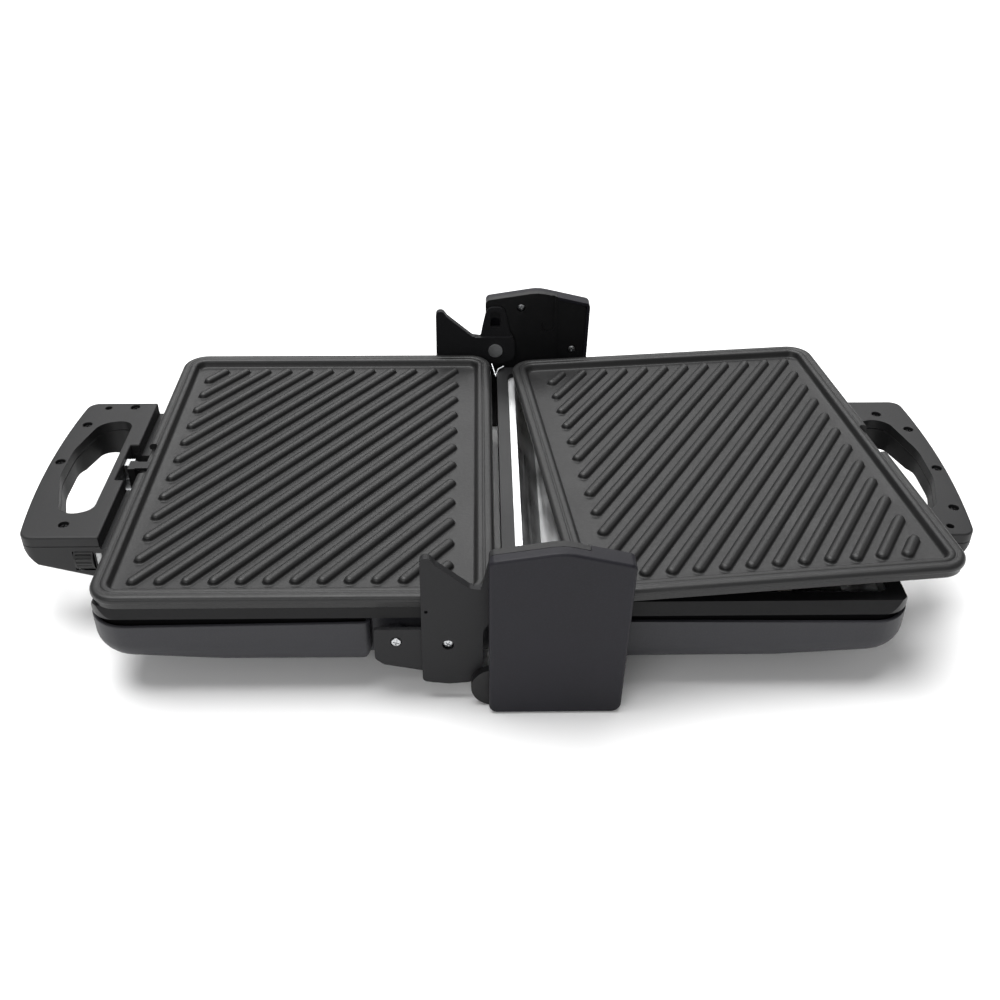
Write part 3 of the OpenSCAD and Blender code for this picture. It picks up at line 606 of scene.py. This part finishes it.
HANDLE_X = 302.0
HANDLE_Y = 82.0
BOW = 560.0
GRIP_Z0 = 34.0
SPLIT = 7.0
CAVITY_X = SHELL_X1 + 11.5
CAVITY_Y = (-25.0, 18.0)
SILL_X = SHELL_X1 + 5.5               # above SILL_Z the handles stand back from the plates
SILL_Z = 58.0
UNDERSIDE = ((SHELL_X1, GRIP_Z0), (256, GRIP_Z0 + 2), (288, GRIP_Z0 + 11), (296, GRIP_Z0 + 20),
             (HANDLE_X + 2, GRIP_Z0 + 28))
SCREWS = {"base": ((275, 64), (292, 43), (296, -7), (292, -53)),
          "lid": ((272, 68), (262, -76), (295, -4), (290, -52))}
DIMPLE = {"base": (283, -73), "lid": (281, -75)}


def under_handle(x):
    """Height of a handle's underside at x."""
    for (xa, za), (xb, zb) in zip(UNDERSIDE, UNDERSIDE[1:]):
        if x <= xb:
            return za + (zb - za) * (max(x, xa) - xa) / (xb - xa)
    return UNDERSIDE[-1][1]


def handle_plan(x0):
    bow = [(HANDLE_X - y * y / (2 * BOW), y, 0) for y in range(-66, 67, 12)]
    corner = HANDLE_X - HANDLE_Y ** 2 / (2 * BOW)
    return outline([(x0, -HANDLE_Y, 0.8), (corner, -HANDLE_Y, 8.5)] + bow
                   + [(corner, HANDLE_Y, 8.5), (x0, HANDLE_Y, 0.8), (x0, CAVITY_Y[1], 0.5),
                      (CAVITY_X, CAVITY_Y[1], 1), (CAVITY_X, CAVITY_Y[0], 1), (x0, CAVITY_Y[0], 0.5)])


def grip_opening():
    x0 = HANDLE_X - 44
    return outline([(x0, -58, 9), (x0 + 23, -54, 14), (HANDLE_X - 12, -18, 40), (HANDLE_X - 12, 14, 40),
                    (x0 + 20, 60, 12), (x0, 52, 9)])


def handle_top(side, top):
    holes = [grip_opening()] + [circle(x, y, 3.3, 24) for x, y in SCREWS[side]]
    holes.append(circle(*DIMPLE[side], 2.4, 24))
    bm = block(bmesh.new(), handle_plan(SILL_X), top - SPLIT + 0.12, top, 0.3, 1.3, holes, 0.35)
    return mesh_from(bm, side + "_handle_top")


def handle_bottom(side, top):
    ceiling = top - SPLIT - 0.12
    bm = block(bmesh.new(), handle_plan(SHELL_X1), GRIP_Z0, ceiling, 2.2, 0.3, [grip_opening()], 0.8)
    for x, _ in UNDERSIDE[1:4]:
        bmesh.ops.bisect_plane(bm, geom=bm.verts[:] + bm.edges[:] + bm.faces[:], plane_co=(x, 0, 0),
                               plane_no=(1, 0, 0))
    for v in bm.verts:
        if v.co.z < GRIP_Z0 + 3:
            v.co.z = min(v.co.z + under_handle(v.co.x) - GRIP_Z0, ceiling - 0.35)
    step = block(bmesh.new(), rectangle(SHELL_X1 - 5, SILL_X, -HANDLE_Y - 5, HANDLE_Y + 5, 0.2),
                 SILL_Z, top, 0, 0)
    return boolean(mesh_from(bm, side + "_handle_bottom"), mesh_from(step, "step"), "DIFFERENCE")


def screw(head_r, head_h, shank_r, shank_l):
    """Pan head screw, head up, its flat underside on Z = 0, with a crossed recess."""
    bm = turned([(shank_r - 0.3, -shank_l), (shank_r, -shank_l + 0.6), (shank_r, 0), (head_r, 0),
                 (head_r, head_h * 0.45), (head_r * 0.9, head_h * 0.75), (head_r * 0.62, head_h * 0.95),
                 (head_r * 0.3, head_h)], 24)
    mesh = mesh_from(bm, "screw")
    arm, width, depth = head_r * 0.62, head_r * 0.13, head_h * 0.65
    for turn in (0, pi / 2):
        slot_bm = block(bmesh.new(), rectangle(-arm, arm, -width, width, width * 0.8), head_h - depth,
                        head_h + 1, 0.1, 0)
        mesh = boolean(mesh, mesh_from(slot_bm, "recess", Matrix.Rotation(turn, 4, "Z")), "DIFFERENCE")
    return mesh


def screw_group(name, node, places):
    """One piece with a screw at each 4x4 place."""
    bm = bmesh.new()
    for head, place in places:
        copy = head.copy()
        copy.transform(place)
        bm.from_mesh(copy)
    piece(name, mesh_from(bm, name), node)


def build_handles():
    base_top = box_mm("base_handle_top")[1].z
    lid_top = box_mm("lid_handle_top")[1].z
    piece("base_handle_upper", handle_top("base", base_top), "base_handle_top")
    piece("base_handle_lower", handle_bottom("base", base_top), "base_handle_bottom")
    upper = handle_top("lid", lid_top)
    upper.transform(TO_LID)
    piece("lid_handle_upper", upper, "lid_handle_top")
    wheel_low, wheel_high = box_mm("thermostat_wheel")
    middle, half = (wheel_low + wheel_high) / 2, (wheel_high - wheel_low) / 2
    lower = handle_bottom("lid", lid_top)
    lower.transform(TO_LID)
    pocket = mesh_from(turned([(half.y + 0.9, -half.x - 0.6), (half.y + 0.9, half.x + 0.6)], 48), "pocket",
                       Matrix.Translation(middle) @ ALONG_X)
    lower = boolean(lower, pocket, "DIFFERENCE")
    lens_low, lens_high = box_mm("indicator_lens")
    hole = mesh_from(block(bmesh.new(), rectangle(lens_low.x - 0.1, lens_high.x + 0.1, lens_low.y - 9,
                                                  lens_high.y + 0.1, 0.2),
                           lens_low.z - 0.1, lens_high.z + 0.1, 0, 0), "hole")
    piece("lid_handle_lower", boolean(lower, hole, "DIFFERENCE"), "lid_handle_bottom")
    head = screw(3.0, 1.6, 1.5, 11)
    for side, top, turn in (("base", base_top, Matrix()), ("lid", lid_top, TO_LID)):
        places = [(head, turn @ Matrix.Translation((x, y, top - 3)) @ Matrix.Rotation(i, 4, "Z"))
                  for i, (x, y) in enumerate(SCREWS[side])]
        screw_group(side + "_handle_screw_set", side + "_handle_screws", places)


# ---- towers and hinge --------------------------------------------------------

TOWER_WALL = 2.5
TOWER_STEP = 48.0
TOWER_PLATE = 5.0
TOWER_SCREWS = ((20, 106), (60, 70))
ARM_SINK = 2.2                        # depth of the screw heads in the arms
cover_low, cover_high = box_mm("rear_tower_cover")


def tower_outline():
    x0, x1, z0, top = cover_low.x, cover_high.x, cover_low.z, cover_high.z
    return outline([(x0, z0, 5), (x1 - 3, z0, 6), (x1, top - 9.1, 4), (33, top + 0.4, 30),
                    (x0, top - 6.1, 4)])


def tower_cover():
    """Rear cover: a deep dish, open towards the inner plate, cut back where the plate is flush."""
    depth = cover_high.y - cover_low.y
    outer = arc_profile(0, depth, 1.7, 0.4, 4)
    dish = [(TOWER_WALL - 0.3, depth), (TOWER_WALL, depth - 0.3), (TOWER_WALL, TOWER_WALL)]
    bm = bmesh.new()
    first, last = loft(bm, tower_outline(), outer + dish)
    bm.faces.new(first)
    bm.faces.new(last)
    mesh = mesh_from(bm, "cover", Matrix.Translation((0, cover_high.y, 0)) @ Matrix.Diagonal((1, -1, 1, 1))
                     @ UPRIGHT)
    step = block(bmesh.new(), rectangle(cover_low.x - 5, TOWER_STEP, -5, cover_high.z + 5, 0.3),
                 cover_low.y - 5, cover_low.y + TOWER_PLATE + 0.1, 0, 0)
    mesh = boolean(mesh, mesh_from(step, "step", UPRIGHT), "DIFFERENCE")
    for x, z in TOWER_SCREWS:
        post = turned([(3.5, cover_low.y + TOWER_PLATE + 0.3), (3.5, cover_high.y - 1)], 24)
        mesh = boolean(mesh, mesh_from(post, "post", UPRIGHT @ Matrix.Translation((x, z, 0))), "UNION")
    return mesh


def build_towers():
    for side, turn in (("rear", Matrix()), ("front", TO_REAR)):
        mesh = tower_cover()
        mesh.transform(turn)
        if side == "front":
            mesh.flip_normals()
        piece(side + "_tower_housing", mesh, side + "_tower_cover")


def side_screws(name, node, spots, y_head, head, sink):
    """Screws along Y at (x, z) on both sides, heads outwards (sink 1) or inwards (sink -1)."""
    places = []
    for sign in (-1, 1):
        for i, (x, z) in enumerate(spots):
            face = Matrix.Rotation(-sign * sink * pi / 2, 4, "X")
            spin = Matrix.Rotation(0.7 + 1.3 * i + sign, 4, "Z")
            places.append((head, Matrix.Translation((x, sign * y_head, z)) @ face @ spin))
    screw_group(name, node, places)


def build_side_screws():
    inner = cover_low.y
    side_screws("tower_screw_set", "tower_screws", TOWER_SCREWS, inner + 3.5, screw(2.9, 1.7, 1.5, 4.5), -1)
    side_screws("boss_screw_set", "boss_screws", BOSSES, inner + 3, screw(2.9, 1.7, 1.5, 12), 1)
    arm_face = box_mm("rear_hinge_arm")[0].y
    head = screw(2.9, 1.7, 1.5, 10)
    spots = [(-x, z) for x, z in ARM_BOSSES]
    side_screws("arm_screw_set", "arm_screws", spots, arm_face + ARM_SINK, head, 1)


# ---- CAD pieces that keep their shape ----------------------------------------


def polish(name, node, edge=0.4, segments=2, sharp=32, limit=28):
    """The CAD node's own shape as one clean mesh with its edges rounded."""
    bm = bmesh.new()
    bm.from_mesh(frame["nodes"][node].data)
    bmesh.ops.scale(bm, vec=(1 / MM,) * 3, verts=bm.verts)
    bmesh.ops.remove_doubles(bm, verts=bm.verts, dist=0.002)
    bmesh.ops.dissolve_limit(bm, angle_limit=radians(0.6), verts=bm.verts, edges=bm.edges)
    rims = [e for e in bm.edges if e.is_manifold and e.calc_face_angle(0) > radians(limit)]
    if edge:
        bmesh.ops.bevel(bm, geom=rims, offset=edge, segments=segments, profile=0.5, affect="EDGES",
                        clamp_overlap=True)
    bmesh.ops.recalc_face_normals(bm, faces=bm.faces)
    mesh = bpy.data.meshes.new(name)
    bm.to_mesh(mesh)
    bm.free()
    return piece(name, mesh, node, sharp)


KEPT = {
    "base_frame": 0.8, "lid_frame": 0.8, "base_reflector": 0.3, "lid_reflector": 0.3,
    "base_heater": 0, "lid_heater": 0, "base_heater_supports": 0.4, "lid_heater_supports": 0.4,
    "base_plate_clip": 0.1, "base_feet": 1.0, "lid_rests": 1.0, "inlet_gland": 0.5,
    "terminal_block": 0.5, "thermal_fuse": 0.2, "front_tower_plate": 0.4, "rear_tower_plate": 0.4,
    "front_hinge_pin": 0.3, "rear_hinge_pin": 0.3, "rear_wire_form": 0, "lid_latch": 0.4,
    "lid_latch_guide": 0.25, "front_hinge_arm": 0.6, "rear_hinge_arm": 0.6, "thermostat": 0.4,
    "thermostat_wheel": 0.12, "indicator_lens": 0.5,
}

# ---- stage, light and camera -------------------------------------------------

CAMERA_AT = (-0.01073, -0.65483, 0.49474)
CAMERA_DOWN = radians(35.0)
CAMERA_YAW = radians(1.063)
CAMERA_ROLL = radians(0.2845)
LENS = 41.69


def build_camera():
    data = bpy.data.cameras.new("camera")
    data.lens = LENS
    data.sensor_width = 36.0
    data.clip_start = 0.02
    camera = bpy.data.objects.new("camera", data)
    SCENE.collection.objects.link(camera)
    turn = (Matrix.Rotation(-CAMERA_YAW, 4, "Z") @ Matrix.Rotation(pi / 2 - CAMERA_DOWN, 4, "X")
            @ Matrix.Rotation(CAMERA_ROLL, 4, "Z"))
    camera.matrix_world = Matrix.Translation(CAMERA_AT) @ turn
    SCENE.camera = camera


def area_light(name, place, target, size, power, colour=(1, 1, 1)):
    data = bpy.data.lights.new(name, "AREA")
    data.shape = "RECTANGLE"
    data.size, data.size_y = size
    data.energy = power
    data.color = colour
    light = bpy.data.objects.new(name, data)
    light.location = place
    light.rotation_euler = (Vector(target) - Vector(place)).to_track_quat("-Z", "Y").to_euler()
    SCENE.collection.objects.link(light)


def build_light():
    world = bpy.data.worlds.new("studio")
    world.use_nodes = True
    background = world.node_tree.nodes["Background"]
    background.inputs["Color"].default_value = (1.0, 1.0, 1.0, 1)
    background.inputs["Strength"].default_value = 0.30
    SCENE.world = world
    SCENE.view_settings.view_transform = "Standard"
    sun = bpy.data.lights.new("high sun", "SUN")
    sun.energy = 3.9
    sun.angle = radians(50)
    lamp = bpy.data.objects.new("high sun", sun)
    lamp.rotation_euler = (radians(-12), radians(-8), 0)
    SCENE.collection.objects.link(lamp)
    area_light("far softbox", (0.1, 1.3, 1.0), (0, 0, 0), (1.8, 0.35), 9)
    area_light("front softbox", (-0.4, -1.4, 0.9), (0, 0, 0.05), (1.4, 0.4), 7)


def build_floor():
    bm = bmesh.new()
    reach, step = 6.0, 12
    bmesh.ops.create_grid(bm, x_segments=step, y_segments=step, size=reach)
    mesh = bpy.data.meshes.new("floor")
    bm.to_mesh(mesh)
    bm.free()
    s = Shader("pale floor", (0.94, 0.94, 0.94), 0.9)
    tint = s.mix(s.span(s.noise(3, 2), 0, 1), (0.935, 0.935, 0.935), (0.945, 0.945, 0.945))
    mesh.materials.append(s.wire(base_color=tint))
    floor = bpy.data.objects.new("floor", mesh)
    SCENE.collection.objects.link(floor)


# ---- the whole grill ---------------------------------------------------------

build_camera()
build_light()
build_floor()
build_plates()
base_housing()
lid_housing()
build_handles()
build_towers()
build_side_screws()
for kept_node, kept_edge in KEPT.items():
    polish(kept_node + "_piece", kept_node, kept_edge)
